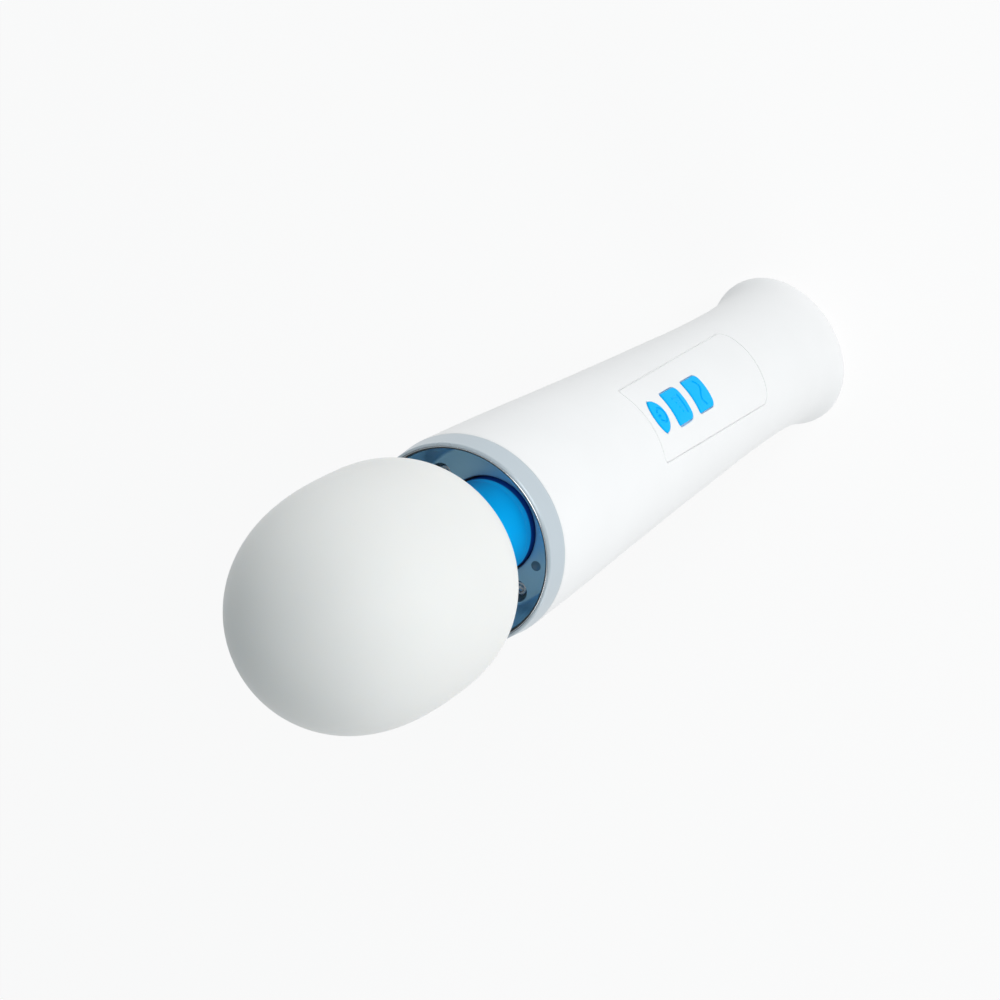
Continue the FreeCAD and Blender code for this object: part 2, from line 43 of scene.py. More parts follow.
# Handle: round from the waist up, and spreading sideways into a flat tail below it
BASE = -8.0
HANDLE_TOP = 241.3
TAIL_SECTIONS = [  # height, half width, half depth
    (BASE, 33.2, 22.6), (-3.5, 31.8, 23.4), (1.0, 30.4, 24.2), (6.5, 28.8, 24.9),
    (12.0, 27.6, 25.4), (19.0, 26.8, 25.65), (26.0, 26.4, 25.75), (36.0, 25.95, 25.75),
]
HANDLE_OUTLINE = [  # height, radius
    (45.0, 25.8), (53.0, 25.75), (72.0, 25.8), (96.0, 26.3), (120.0, 26.8), (149.0, 27.5),
    (181.0, 28.45), (212.0, 29.4), (HANDLE_TOP, 30.0),
]
BASE_EDGE_ROUNDING = 7.5
BASE_OPENING_RADIUS = 13.2

# Collar, cup and neck
RIM = 248.8
COLLAR_TOP_RADIUS = 29.2
CUP_FLOOR = 229.6
CUP_FLOOR_RADIUS = 24.5
CUP_MOUTH_RADIUS = 27.6
CUP_HOLE_RADIUS = 14.6
CUP_WALL = 0.8
# above this height the cup's wall takes the lip's near-black finish, a painted dark reflection
CUP_WALL_TOP = RIM - 1.1
CUP_LIP_SHADE = RIM - 1.6
# share of the lip's width past which it is painted bright, a painted highlight; inside it the lip
# is a painted dark reflection
CUP_LIP_RIDGE = 0.62
CUP_SCREW_RADIUS = 20.2
CUP_SCREW_ANGLES = {"left": 166.0, "right": 11.0}
CUP_SCREW_SEAT = CUP_FLOOR - 3.4
CUP_SCREW_HEAD_HEIGHT = 1.4
CUP_DIMPLE_POSITION = (-16.9, -5.4)
NECK_RADIUS = 14.04
NECK_SEAL_TOP = 233.0
NECK_BOOT_TOP = 257.6
NECK_CORE_RADIUS = 9.5
NECK_CORE_BORE = 6.2
NECK_CORE_BOTTOM = 231.3
NECK_CORE_TOP = 263.6

# Head
HEAD_RADIUS = 32.93
HEAD_CENTRE = 285.1
HEAD_RISE = 47.9
HEAD_DROP = 32.77
HEAD_RISE_POWER = 2.82
HEAD_DROP_POWER = 2.71

# Control panel and buttons, outlines as (x, z) seen from the front
PANEL_BOTTOM = 77.8
PANEL_TOP = 168.6
PANEL_HALF_WIDTH_BOTTOM = 14.6
PANEL_HALF_WIDTH_TOP = 13.1
PANEL_CORNER_BOTTOM = 4.0
PANEL_CORNER_TOP = 1.8
PANEL_SIDE_GROOVE = 0.36
PANEL_END_GROOVE = 0.2
PANEL_POCKET_DEPTH = 1.5
PANEL_EDGE_ROUNDING = 0.18
PANEL_THICKNESS = 1.2
BUTTON_PROUD = 0.4
BUTTON_GAP = 0.2
BUTTON_POCKET_DEPTH = 1.1
BUTTON_CROWN = 0.1
BUTTON_EDGE_ROUNDING = 0.4
BUTTON_THICKNESS = 2.6
SYMBOL_DEPTH = 0.42
SYMBOL_LINE = 0.7

# Camera, in the frame's own heights
CAMERA_POSITION = (-17.2, -289.4, 656.9)
CAMERA_AIM = (4.66, -0.35, 226.5)
CAMERA_ROLL = -120.4
CAMERA_LENS = 64.8

# Studio, in metres and watts
STUDIO_MIDDLE = (0, 0, 0.25)
STUDIO_LIGHTS = {
    "front_key": ((0, -1.96, 0.64), 12),
    "side_fill": ((-1.92, 0, 0.82), 9),
    "high_key": ((0, -1.41, 1.66), 11),
}
STUDIO_LIGHT_SIZE = 1.2
NECK_LIGHT_POSITION = (-0.19, -0.47, 0.85)
NECK_LIGHT_SIZE = 0.25
NECK_LIGHT_POWER = 4.3
SKY_COLOUR = (0.88, 0.97, 1.0, 1)
SKY_STRENGTH = 0.33
BACKDROP_STRENGTH = 0.93
FLOOR_GLOW = 0.88
FLOOR_SIZE = 4000


# ---------------------------------------------------------------- meshes

def curve_through(points):
    """A smooth line through (height, radius) points, as a function of height."""
    pts = np.array(points, float)
    t = np.concatenate([[0], np.cumsum(np.hypot(*np.diff(pts, axis=0).T))])
    h = np.diff(t)
    n = len(t)
    rows = np.eye(n)
    for i in range(1, n - 1):
        rows[i, i - 1:i + 2] = h[i - 1], 2 * (h[i - 1] + h[i]), h[i]
    fine = np.linspace(0, t[-1], 1500)
    k = np.clip(np.searchsorted(t, fine, side="right") - 1, 0, n - 2)
    a, b = (t[k + 1] - fine) / h[k], (fine - t[k]) / h[k]
    out = []
    for column in pts.T:
        right = np.zeros(n)
        right[1:-1] = 6 * np.diff(np.diff(column) / h)
        bend = np.linalg.solve(rows, right)
        out.append(a * column[k] + b * column[k + 1]
                   + ((a ** 3 - a) * bend[k] + (b ** 3 - b) * bend[k + 1]) * h[k] ** 2 / 6)
    heights, radii = out
    return lambda z: np.interp(z, heights, radii)


half_width = curve_through([(z, wide) for z, wide, _ in TAIL_SECTIONS] + HANDLE_OUTLINE)
half_depth = curve_through([(z, deep) for z, _, deep in TAIL_SECTIONS] + HANDLE_OUTLINE)


def handle_radius(height, turn=0.0):
    """Distance from the axis to the handle's surface; turn is measured from the front."""
    return 1 / np.hypot(np.sin(turn) / half_width(height), np.cos(turn) / half_depth(height))


def arc(centre, radius, start, end, steps=8):
    """Points on a circular arc in the (radius, height) plane, angles in degrees."""
    return [
        (centre[0] + radius * math.cos(math.radians(a)),
         centre[1] + radius * math.sin(math.radians(a)))
        for a in np.linspace(start, end, steps + 1)
    ]


def stations(low, high, coarse, zones=()):
    """Positions from low to high, closer together inside the zones (from, to, step)."""
    found = [low]
    while found[-1] < high - 1e-9:
        here = found[-1]
        inside = [s for a, b, s in zones if a <= here < b]
        nearest = min([a for a, b, s in zones if a > here] + [high])
        found.append(min(here + (inside[0] if inside else coarse), nearest))
    return np.array(found)


def mesh_object(name, vertices, faces, sharp=38.0):
    """A smooth-shaded mesh object from millimetre vertices measured from the datum plane."""
    mesh = bpy.data.meshes.new(name)
    mesh.from_pydata([(MM * x, MM * y, MM * (z - BASE)) for x, y, z in vertices], [], faces)
    mesh.validate()
    mesh.polygons.foreach_set("use_smooth", [True] * len(mesh.polygons))
    mesh.set_sharp_from_angle(angle=math.radians(sharp))
    obj = bpy.data.objects.new(name, mesh)
    bpy.context.scene.collection.objects.link(obj)
    return obj


def grid_faces(rows, columns, wrap):
    """Quads of a rows by columns vertex grid, joined round when wrap is set."""
    r = np.arange(rows - 1)[:, None]
    c = np.arange(columns if wrap else columns - 1)[None, :]
    d = (c + 1) % columns
    quads = np.stack(np.broadcast_arrays(
        r * columns + c, r * columns + d, (r + 1) * columns + d, (r + 1) * columns + c
    ), axis=-1)
    return quads.reshape(-1, 4).tolist()


def revolve(name, outline, segments=192, centre=(0.0, 0.0), closed=False):
    """Turn (radius, height) points about an upright axis; a radius of 0 closes to a point."""
    outline = list(outline) + (list(outline[:1]) if closed else [])
    turn = np.linspace(0, 2 * math.pi, segments, endpoint=False)
    radii, heights = np.array(outline, float).T
    x = centre[0] + radii[:, None] * np.cos(turn)
    y = centre[1] + radii[:, None] * np.sin(turn)
    z = np.broadcast_to(heights[:, None], x.shape)
    vertices = np.stack([x, y, z], axis=-1).reshape(-1, 3)
    obj = mesh_object(name, vertices, grid_faces(len(outline), segments, True))
    weld(obj)
    return obj


def weld(obj, distance=0.0005):
    """Merge coincident points, so that poles and seams close."""
    bm = bmesh.new()
    bm.from_mesh(obj.data)
    bmesh.ops.remove_doubles(bm, verts=bm.verts, dist=distance * MM)
    bmesh.ops.recalc_face_normals(bm, faces=bm.faces)
    bm.to_mesh(obj.data)
    bm.free()
    obj.data.polygons.foreach_set("use_smooth", [True] * len(obj.data.polygons))
    obj.data.set_sharp_from_angle(angle=math.radians(38))


def cut(obj, cutters):
    """Subtract other objects from one and remove them."""
    for cutter in cutters:
        tool = obj.modifiers.new("cut", "BOOLEAN")
        tool.operation = "DIFFERENCE"
        tool.solver = "EXACT"
        tool.object = cutter
    bpy.context.view_layer.update()
    evaluated = obj.evaluated_get(bpy.context.evaluated_depsgraph_get())
    mesh = bpy.data.meshes.new_from_object(evaluated)
    obj.modifiers.clear()
    obj.data = mesh
    for cutter in cutters:
        bpy.data.objects.remove(cutter)
    mesh.polygons.foreach_set("use_smooth", [True] * len(mesh.polygons))
    mesh.set_sharp_from_angle(angle=math.radians(30))


def finish_piece(obj, body, nodes, material):
    """Give a piece its material and its body, and hide the CAD nodes that it stands for."""
    obj.data.materials.clear()
    obj.data.materials.append(material)
    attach(obj, body)
    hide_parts(*nodes)
    return obj


# ---------------------------------------------------------------- panel and button outlines

def panel_distance(x, z):
    """Distance from the panel's edge in the front view, negative inside."""
    across, along = panel_sides(x, z)
    middle = (PANEL_TOP + PANEL_BOTTOM) / 2
    corner = np.where(z < middle, PANEL_CORNER_BOTTOM, PANEL_CORNER_TOP)
    return corner_distance(across, along, corner)


def panel_sides(x, z):
    """Distances outside the panel's long sides and outside its two ends."""
    share = (z - PANEL_BOTTOM) / (PANEL_TOP - PANEL_BOTTOM)
    half = PANEL_HALF_WIDTH_BOTTOM + share * (PANEL_HALF_WIDTH_TOP - PANEL_HALF_WIDTH_BOTTOM)
    return np.abs(x) - half, np.maximum(PANEL_BOTTOM - z, z - PANEL_TOP)


def corner_distance(across, along, corner):
    """Distance from a rounded corner, from the distances to its two straight sides."""
    a, b = across + corner, along + corner
    outside = np.hypot(np.maximum(a, 0), np.maximum(b, 0))
    return outside + np.minimum(np.maximum(a, b), 0) - corner


def circle_through(middle, half, end):
    """Centre height and radius of an arc from (-half, end) over (0, middle) to (half, end)."""
    rise = middle - end
    radius = (half * half + rise * rise) / (2 * abs(rise))
    return middle - math.copysign(radius, rise), radius


class Lens:
    """Pointed lens: two arcs that meet at a left and a right tip."""
    half, low, tip, high = 5.7, 156.3, 161.6, 164.6

    def top(self, x):
        return self._edge(x, self.high)

    def bottom(self, x):
        return self._edge(x, self.low)

    def _edge(self, x, middle):
        centre, radius = circle_through(middle, self.half, self.tip)
        rise = np.sqrt(np.maximum(radius ** 2 - x ** 2, 0))
        return centre + math.copysign(1, middle - self.tip) * rise

    def distance(self, x, z):
        """Rough distance outside the edge in the front view, negative inside."""
        inner = np.clip(x, -self.half, self.half)
        ends = np.maximum(z - self.top(inner), self.bottom(inner) - z)
        ends = ends * np.where(np.abs(x) < self.half, np.cos(np.arctan(np.abs(inner) / 6.2)), 1)
        sides = np.abs(x) - self.half
        return np.where(sides > 0, np.hypot(sides, np.maximum(ends, 0)), ends)

    def spread(self, a, b):
        """Place unit-square positions inside the outline."""
        x = a * self.half
        return x, self.bottom(x) + (b + 1) / 2 * (self.top(x) - self.bottom(x))


class Strip:
    """A block with one straight edge, two straight sides and one slightly bowed edge."""
    half, bow, corner_low, corner_high = 5.9, 0.4, 2.0, 0.9

    def __init__(self, low, high):
        self.low, self.high = low, high

    def bottom(self, x):
        centre, radius = circle_through(self.low, self.half, self.low + self.bow)
        return centre - np.sqrt(radius ** 2 - x ** 2)

    def corner(self, b):
        return np.where(b < 0, self.corner_low, self.corner_high)

    def distance(self, x, z):
        """Rough distance outside the edge in the front view, negative inside."""
        inner = np.clip(x, -self.half, self.half)
        ends = np.maximum(z - self.high, self.bottom(inner) - z)
        corner = self.corner(2 * z - self.high - self.low)
        return corner_distance(np.abs(x) - self.half, ends, corner)

    def spread(self, a, b):
        """Place unit-square positions inside the outline."""
        corner = self.corner(b)
        a, b = rounded_square(a, b, corner / self.half, 2 * corner / (self.high - self.low))
        x = a * self.half
        return x, self.bottom(x) + (b + 1) / 2 * (self.high - self.bottom(x))


BUTTON_SHAPES = {"power": Lens(), "mode": Strip(139.8, 151.7), "speed": Strip(122.2, 134.6)}


def smooth_step(value, low, high):
    t = np.clip((value - low) / (high - low), 0, 1)
    return t * t * (3 - 2 * t)


def on_handle(x, z, lift):
    """Front-view points laid on the handle's surface, raised by lift."""
    radius = handle_radius(z) + lift
    return np.stack([x, -np.sqrt(np.maximum(radius ** 2 - x ** 2, 0)), z], axis=-1)


# ---------------------------------------------------------------- pieces

def foot_rows(turn):
    """The underside and rounded lower edge of the tail, as (radius, height) rows."""
    flat = np.ones_like(turn)
    rows = [(BASE_OPENING_RADIUS * flat, (BASE + 5.8) * flat),
            (BASE_OPENING_RADIUS * flat, (BASE + 0.35) * flat),
            ((BASE_OPENING_RADIUS + 0.35) * flat, BASE * flat)]
    start, lean = (BASE + BASE_EDGE_ROUNDING) * flat, 0 * flat
    for _ in range(12):
        slope = (handle_radius(start - 0.2, turn) - handle_radius(start + 0.2, turn)) / 0.4
        lean = np.arctan(slope)
        start = BASE + BASE_EDGE_ROUNDING * (1 + np.sin(lean))
    centre = handle_radius(start, turn) - BASE_EDGE_ROUNDING * np.cos(lean)
    rows.append(((BASE_OPENING_RADIUS + 0.5 + centre) / 2, BASE * flat))
    for share in np.linspace(0, 1, 17):
        angle = -math.pi / 2 + share * (math.pi / 2 + lean)
        rows.append((centre + BASE_EDGE_ROUNDING * np.cos(angle),
                     BASE + BASE_EDGE_ROUNDING * (1 + np.sin(angle))))
    for share in np.linspace(0, 1, 8)[1:]:
        height = start + share * (12.0 - start)
        rows.append((handle_radius(height, turn), height))
    return rows


def build_handle():
    """The long shell, with the groove and seat of the control panel pressed into it."""
    # zones are in degrees from the front; 0.25 degree is about 0.12 mm
    degrees = stations(0.0, 360.0, 2.5, [(17.5, 37.0, 0.25), (323.0, 342.5, 0.25)])[:-1]
    turn = np.radians(degrees)
    rows = foot_rows(turn)
    panel_ends = [(77.0, 82.4, 0.12), (166.0, 169.4, 0.12)]
    for height in stations(14.0, HANDLE_TOP - 0.3, 2.0, panel_ends):
        radius = handle_radius(height, turn)
        x, z = radius * np.sin(turn), np.full_like(radius, height)
        across, along = panel_sides(x, z)
        groove = PANEL_SIDE_GROOVE + smooth_step(along - across, -1.5, 1.5) * (
            PANEL_END_GROOVE - PANEL_SIDE_GROOVE)
        distance = panel_distance(x, z) - groove
        depth = PANEL_POCKET_DEPTH * (1 - smooth_step(distance, -0.1, 0.1))
        depth = np.where(np.cos(turn) > 0, depth, 0.0)
        rows.append((radius - depth, np.full_like(radius, height)))
    for inset, height in ((0.08, HANDLE_TOP - 0.1), (0.3, HANDLE_TOP), (2.4, HANDLE_TOP),
                          (2.5, HANDLE_TOP - 6.0)):
        rows.append((handle_radius(HANDLE_TOP, turn) - inset, np.full_like(turn, height)))
    vertices = [
        (r * math.sin(t), -r * math.cos(t), z)
        for radius, height in rows for r, t, z in zip(radius, turn, height)
    ]
    faces = grid_faces(len(rows), len(turn), True)
    obj = mesh_object("handle_shell_skin", vertices, [f[::-1] for f in faces], 42)
    weld(obj, 0.0001)
    return obj


def rounded_square(a, b, corner_a, corner_b):
    """Round a unit square's corners: a and b run from -1 to 1, corners are shares of a side."""
    over_a = np.maximum(np.abs(a) - (1 - corner_a), 0) / corner_a
    over_b = np.maximum(np.abs(b) - (1 - corner_b), 0) / corner_b
    new_a = over_a * np.sqrt(1 - over_b ** 2 / 2)
    new_b = over_b * np.sqrt(1 - over_a ** 2 / 2)
    keep_a = np.minimum(np.abs(a), 1 - corner_a)
    keep_b = np.minimum(np.abs(b), 1 - corner_b)
    return (np.sign(a) * (keep_a + new_a * corner_a),
            np.sign(b) * (keep_b + new_b * corner_b))


def edge_drop(distance, radius):
    """How far a rounded edge has fallen at a distance inside the outline."""
    inside = np.clip(radius - distance, 0, radius)
    return radius - np.sqrt(np.maximum(radius ** 2 - inside ** 2, 0))


def skirt(vertices, rows, columns, depth):
    """Copy a grid's outer ring of points straight back, as the piece's side wall."""
    grid = np.array(vertices).reshape(rows, columns, 3)
    ring = np.concatenate([
        np.stack([np.zeros(columns - 1, int), np.arange(columns - 1)], 1),
        np.stack([np.arange(rows - 1), np.full(rows - 1, columns - 1)], 1),
        np.stack([np.full(columns - 1, rows - 1), np.arange(columns - 1, 0, -1)], 1),
        np.stack([np.arange(rows - 1, 0, -1), np.zeros(rows - 1, int)], 1),
    ])
    index = (ring[:, 0] * columns + ring[:, 1]).tolist()
    start = rows * columns
    back = [tuple(grid[r, c] + (0, depth, 0)) for r, c in ring]
    n = len(index)
    faces = [(index[i], index[(i + 1) % n], start + (i + 1) % n, start + i) for i in range(n)]
    return back, faces


def build_panel():
    """The inset panel: a thin skin with soft edges, sunk round each button."""
    across = stations(-1.0, 1.0, 0.06, [(-1.0, -0.97, 0.006), (-0.46, 0.46, 0.009),
                                        (0.97, 1.0, 0.006)])
    along = stations(-1.0, 1.0, 0.02, [(-1.0, -0.994, 0.0015), (-0.07, 0.95, 0.0028),
                                       (0.994, 1.0, 0.0015)])
    a, b = np.meshgrid(across, along)
    middle, half_height = (PANEL_TOP + PANEL_BOTTOM) / 2, (PANEL_TOP - PANEL_BOTTOM) / 2
    mean_width = (PANEL_HALF_WIDTH_TOP + PANEL_HALF_WIDTH_BOTTOM) / 2
    corner = np.where(b < 0, PANEL_CORNER_BOTTOM, PANEL_CORNER_TOP)
    a, b = rounded_square(a, b, corner / mean_width, corner / half_height)
    z = middle + b * half_height
    width = mean_width + b * (PANEL_HALF_WIDTH_TOP - PANEL_HALF_WIDTH_BOTTOM) / 2
    x = a * width
    lift = -edge_drop(np.maximum(-panel_distance(x, z), 0), PANEL_EDGE_ROUNDING)
    for shape in BUTTON_SHAPES.values():
        distance = shape.distance(x, z)
        inside = 1 - smooth_step(distance, BUTTON_GAP, BUTTON_GAP + 0.2)
        lift = np.minimum(lift, -BUTTON_POCKET_DEPTH * inside)
    vertices = on_handle(x, z, lift).reshape(-1, 3)
    rows, columns = a.shape
    back, side = skirt(vertices, rows, columns, PANEL_THICKNESS)
    faces = grid_faces(rows, columns, False)
    obj = mesh_object("control_panel_skin", list(map(tuple, vertices)) + back, faces + side, 50)
    weld(obj, 0.0001)
    return obj


def stroke(x, z, points, width):
    """How deep a drawn line is pressed at each point, from 0 to 1."""
    best = np.full(x.shape, 9.0)
    for (ax, az), (bx, bz) in zip(points[:-1], points[1:]):
        dx, dz = bx - ax, bz - az
        t = np.clip(((x - ax) * dx + (z - az) * dz) / (dx * dx + dz * dz), 0, 1)
        best = np.minimum(best, np.hypot(x - ax - t * dx, z - az - t * dz))
    return 1 - smooth_step(best, width / 2 - 0.08, width / 2 + 0.1)


def ring_points(x, z, radius, start, end, steps=40):
    """Points round a circle in the front view, angles in degrees."""
    return [(x + radius * math.cos(math.radians(a)), z + radius * math.sin(math.radians(a)))
            for a in np.linspace(start, end, steps + 1)]


def power_symbol(x, z):
    ring = stroke(x, z, ring_points(0, 159.8, 2.4, 127, 413), SYMBOL_LINE)
    return np.maximum(ring, stroke(x, z, [(0, 161.0), (0, 162.4)], SYMBOL_LINE))


def mode_symbol(x, z):
    """A pressed line under four slightly raised bars of growing height."""
    pressed = stroke(x, z, [(-3.0, 142.95), (3.0, 142.95)], 0.85)
    for left, height in ((-2.5, 1.3), (-0.8, 1.9), (0.95, 2.5), (2.7, 3.1)):
        pressed -= 0.5 * stroke(x, z, [(left, 144.4), (left, 144.4 + height)], 0.6)
    return pressed


def speed_symbol(x, z):
    across = np.linspace(-4.1, 4.1, 41)
    wave = 127.95 - 1.7 * np.sin(2 * math.pi * across / 8.6)
    return stroke(x, z, list(zip(across, wave)), 0.8)


SYMBOLS = {"power": power_symbol, "mode": mode_symbol, "speed": speed_symbol}


def build_button(name):
    """A soft cap that stands just proud of the panel, with its symbol pressed in."""
    shape = BUTTON_SHAPES[name]
    lines = stations(-1.0, 1.0, 0.016, [(-1.0, -0.9, 0.008), (0.9, 1.0, 0.008)])
    a, b = np.meshgrid(lines, lines)
    x, z = shape.spread(a, b)
    inside = np.maximum(-shape.distance(x, z), 0)
    crown = BUTTON_CROWN * (1 - smooth_step(inside, 0, 4.0))
    fall = crown + edge_drop(inside, BUTTON_EDGE_ROUNDING)
    lift = BUTTON_PROUD - fall - SYMBOL_DEPTH * SYMBOLS[name](x, z)
    vertices = on_handle(x, z, lift).reshape(-1, 3)
    rows, columns = a.shape
    back, side = skirt(vertices, rows, columns, BUTTON_THICKNESS)
    faces = grid_faces(rows, columns, False)
    obj = mesh_object("button_%s_cap" % name, list(map(tuple, vertices)) + back, faces + side, 60)
    weld(obj, 0.0001)
    return obj


def build_collar():
    top = COLLAR_TOP_RADIUS
    outline = [(27.4, HANDLE_TOP + 0.02), (29.7, HANDLE_TOP + 0.02),
               (29.9, HANDLE_TOP + 0.1), (29.97, HANDLE_TOP + 0.3)]
    outline += [(29.97 - 0.72 * t, HANDLE_TOP + 0.3 + (RIM - 0.9 - HANDLE_TOP - 0.3) * t)
                for t in np.linspace(0.1, 1, 8)]
    outline += arc((top - 0.65, RIM - 0.75), 0.72, 10, 90, 8)
    outline += [(top - 0.74, RIM - 0.03), (top - 0.76, RIM - 0.8)]
    return revolve("front_collar_band", outline, 256)


def cup_wall_radius(height):
    bottom, top = CUP_FLOOR + 1.4, RIM - 0.4
    share = (height - bottom) / (top - bottom)
    return CUP_FLOOR_RADIUS + 0.1 + share * (CUP_MOUTH_RADIUS - CUP_FLOOR_RADIUS - 0.1)


def screw_places():
    for name, angle in CUP_SCREW_ANGLES.items():
        turn = math.radians(angle)
        yield name, CUP_SCREW_RADIUS * math.cos(turn), CUP_SCREW_RADIUS * math.sin(turn)


def build_cup():
    """Pressed metal cup: a flat floor with screw seats and a sloping wall; its rolled lip is a
    piece of its own.
    """
    low = CUP_FLOOR - 4.0
    outline = [(CUP_HOLE_RADIUS, low), (CUP_HOLE_RADIUS, CUP_FLOOR - 0.4)]
    outline += arc((CUP_HOLE_RADIUS + 0.4, CUP_FLOOR - 0.4), 0.4, 180, 90, 6)[1:]
    outline += [(r, CUP_FLOOR) for r in (17.0, 19.6, 22.0)]
    corner = CUP_FLOOR_RADIUS - 1.4
    outline += arc((corner, CUP_FLOOR + 1.45), 1.45, -90, -8, 10)
    outline += [(cup_wall_radius(z), z) for z in np.linspace(CUP_FLOOR + 2.2, CUP_LIP_SHADE, 8)]
    outline += [(cup_wall_radius(CUP_WALL_TOP), CUP_WALL_TOP)]
    outline += [(cup_wall_radius(CUP_WALL_TOP) + CUP_WALL, CUP_WALL_TOP)]
    outline += [(cup_wall_radius(low + 2.0) + CUP_WALL, low + 2.0),
                (cup_wall_radius(low + 2.0) + CUP_WALL - 1.2, low)]
    cup = revolve("front_cup_liner", outline, 256, closed=True)
    cutters = []
    for name, x, y in screw_places():
        seat = [(0, CUP_SCREW_SEAT), (2.95, CUP_SCREW_SEAT), (3.15, CUP_SCREW_SEAT + 0.2),
                (3.15, CUP_FLOOR - 0.25), (3.4, CUP_FLOOR + 0.01), (3.4, CUP_FLOOR + 0.6),
                (0, CUP_FLOOR + 0.6)]
        cutters.append(revolve("seat_" + name, seat, 64, (x, y)))
    dimple = arc((0, CUP_FLOOR + 1.0), 1.8, -90, -33, 10)
    dimple += [(1.51, CUP_FLOOR + 0.6), (0, CUP_FLOOR + 0.6)]
    cutters.append(revolve("dimple", dimple, 48, CUP_DIMPLE_POSITION))
    cut(cup, cutters)
    return cup


def build_cup_lip():
    """The rolled lip that closes the cup's wall against the collar."""
    mouth = cup_wall_radius(RIM - 0.4)
    outline = [(cup_wall_radius(CUP_WALL_TOP) + 0.03, RIM - 1.12)]
    outline += arc((mouth + CUP_WALL / 2, RIM - 0.4), CUP_WALL / 2 - 0.02, 180, 0, 12)
    outline += [(mouth + CUP_WALL - 0.05, RIM - 1.12)]
    return revolve("front_cup_lip", outline, 256, closed=True)


def face_radius_and_height(polygon):
    """A face's distance from the axis and its height above the datum plane."""
    return polygon.center.xy.length / MM, polygon.center.z / MM + BASE


def finish_cup(cup, lip, materials):
    """Satin floor and wall; the recesses get a darker finish as painted shade, and the rim a
    near-black painted dark reflection inside and a bright painted highlight outside.
    """
    finish_piece(cup, "handle", ["front_cup"], materials["cup_chrome"])
    cup.data.materials.append(materials["cup_recess_painted_shade"])
    cup.data.materials.append(materials["cup_lip"])
    for polygon in cup.data.polygons:
        radius, height = face_radius_and_height(polygon)
        # the wall's top takes the lip's near-black finish, a painted dark reflection
        if height > CUP_LIP_SHADE:
            polygon.material_index = 2
        # screw seats and dimple: a darker finish as painted shade inside them
        elif height < CUP_FLOOR - 0.03 and 15.2 < radius < 24.2:
            polygon.material_index = 1
        else:
            polygon.material_index = 0
    finish_piece(lip, "handle", ["front_cup"], materials["cup_lip"])
    lip.data.materials.append(materials["cup_lip_painted_highlight"])
    # the lip's outer side is painted bright as a painted highlight, its inner side near-black as
    # a painted dark reflection
    ridge = cup_wall_radius(RIM - 0.4) + CUP_LIP_RIDGE * CUP_WALL
    for polygon in lip.data.polygons:
        polygon.material_index = 1 if face_radius_and_height(polygon)[0] > ridge else 0


def build_screw(name, x, y):
    """Socket-head screw: a knurled head with a six-sided socket."""
    seat = CUP_SCREW_SEAT
    top = seat + CUP_SCREW_HEAD_HEIGHT
    count = 96
    turn = np.linspace(0, 2 * math.pi, count, endpoint=False)
    knurl = 0.05 * np.cos(32 * turn)
    sector = (turn + math.pi / 6) % (math.pi / 3) - math.pi / 6
    six_sides = 1.05 / np.cos(sector)
    flat = np.ones_like(turn)
    rings = [(2.15 * flat, seat + 0.02), (2.24 + knurl, seat + 0.12), (2.24 + knurl, top - 0.4),
             (2.2 * flat, top - 0.25), (2.1 * flat, top - 0.08), (1.95 * flat, top),
             (1.35 * flat, top), (six_sides + 0.1, top - 0.05), (six_sides, top - 0.18),
             (six_sides, top - 0.9), (0.5 * six_sides, top - 1.1), (0.001 * flat, top - 1.2)]
    vertices = [
        (x + r * math.cos(t), y + r * math.sin(t), height)
        for radius, height in rings for r, t in zip(radius, turn)
    ]
    faces = grid_faces(len(rings), count, True)
    obj = mesh_object("cup_screw_%s_head" % name, vertices, faces, 30)
    weld(obj, 0.002)
    return obj


def build_neck_seal():
    """Navy ring that the blue neck stands on, darkened towards the cup's floor: partly its own
    navy, partly painted shade.
    """
    outline = [(11.8, CUP_FLOOR - 3.0), (NECK_RADIUS, CUP_FLOOR - 3.0), (NECK_RADIUS, CUP_FLOOR)]
    outline += arc((NECK_RADIUS - 0.08, NECK_SEAL_TOP - 0.08), 0.08, 0, 90, 3)
    outline += [(11.8, NECK_SEAL_TOP)]
    return revolve("neck_seal_band", outline, 192)


def build_neck_boot():
    """Flexing blue sleeve between the seal and the head."""
    outline = [(11.9, NECK_SEAL_TOP + 0.02)]
    outline += arc((NECK_RADIUS - 0.08, NECK_SEAL_TOP + 0.1), 0.08, -90, 0, 3)
    outline += [(NECK_RADIUS, z) for z in np.linspace(NECK_SEAL_TOP + 0.8, NECK_BOOT_TOP, 26)]
    outline += [(11.9, NECK_BOOT_TOP)]
    return revolve("neck_boot_sleeve", outline, 192)


def build_neck_core():
    """Rubber tube inside the boot, which bends with it."""
    outline = [(NECK_CORE_RADIUS, z) for z in np.linspace(NECK_CORE_BOTTOM, NECK_CORE_TOP, 26)]
    outline += [(NECK_CORE_BORE, z) for z in np.linspace(NECK_CORE_TOP, NECK_CORE_BOTTOM, 26)]
    return revolve("neck_core_tube", outline, 96, closed=True)


